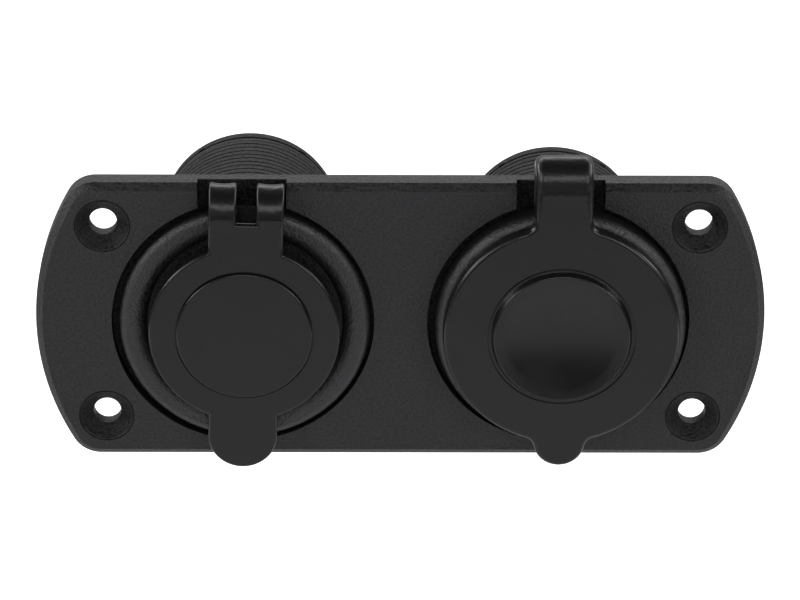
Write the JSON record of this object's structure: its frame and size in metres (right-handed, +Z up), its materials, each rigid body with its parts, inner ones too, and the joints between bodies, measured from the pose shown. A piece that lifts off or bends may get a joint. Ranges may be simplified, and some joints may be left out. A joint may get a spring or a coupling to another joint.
{
  "type": "vehicle socket panel",
  "caption": "Flush-mount faceplate with a capped USB charger socket and a capped 12 V accessory socket side by side.",
  "frame": {"origin": "centre of the faceplate's flat back", "axes": "+X along the faceplate to the right as seen from the front, +Y backwards through the dashboard, +Z up"},
  "size_m": [0.1128, 0.0569, 0.0513],
  "materials": {
    "black_plastic": "fine grain, matt",
    "bezel_plastic": "fine grain, half matt",
    "black_rubber": "satin moulded rubber",
    "white_plastic": "plain moulding",
    "clear_plastic": "frosted",
    "board_green": "lacquered board",
    "ferrite": "matt",
    "can_aluminium": "drawn can",
    "nickel_steel": "nickel plated sheet",
    "brass": "stamped",
    "phenolic": "pressed board"
  },
  "bodies": {
    "panel": {"faceplate": "black_plastic", "usb_housing": "bezel_plastic", "usb_ring_nut": "black_plastic", "usb_cap_collar": "black_rubber", "usb_port_shell_upper": "nickel_steel", "usb_port_shell_lower": "nickel_steel", "usb_port_tongue_upper": "white_plastic", "usb_port_tongue_lower": "white_plastic", "usb_circuit_board": "board_green", "usb_inductor": "ferrite", "usb_capacitor_left": "can_aluminium", "usb_capacitor_right": "can_aluminium", "usb_regulator_chip": "ferrite", "usb_light_guide": "clear_plastic", "usb_rear_cap": "black_plastic", "usb_blade_negative": "brass", "usb_blade_positive": "brass", "power_housing": "bezel_plastic", "power_ring_nut": "black_plastic", "power_cap_collar": "black_rubber", "power_well": "nickel_steel", "power_insulating_washer": "phenolic", "power_centre_contact": "brass", "power_rear_cap": "black_plastic", "power_blade_positive": "brass", "power_blade_negative": "brass"},
    "usb_cover": {"usb_cap": "black_rubber"},
    "power_cover": {"power_cap": "black_rubber"}
  },
  "joints": [
    {"name": "usb_cap_hinge", "type": "hinge", "parent": "panel", "child": "usb_cover", "pos_m": [-0.02356, -0.00505, 0.02359], "axis": [-0.9997, 0, 0.0227], "range_deg": [0, 150]},
    {"name": "power_cap_hinge", "type": "hinge", "parent": "panel", "child": "power_cover", "pos_m": [0.0247, -0.0054, 0.02835], "axis": [-1, 0, 0], "range_deg": [0, 150]}
  ]
}
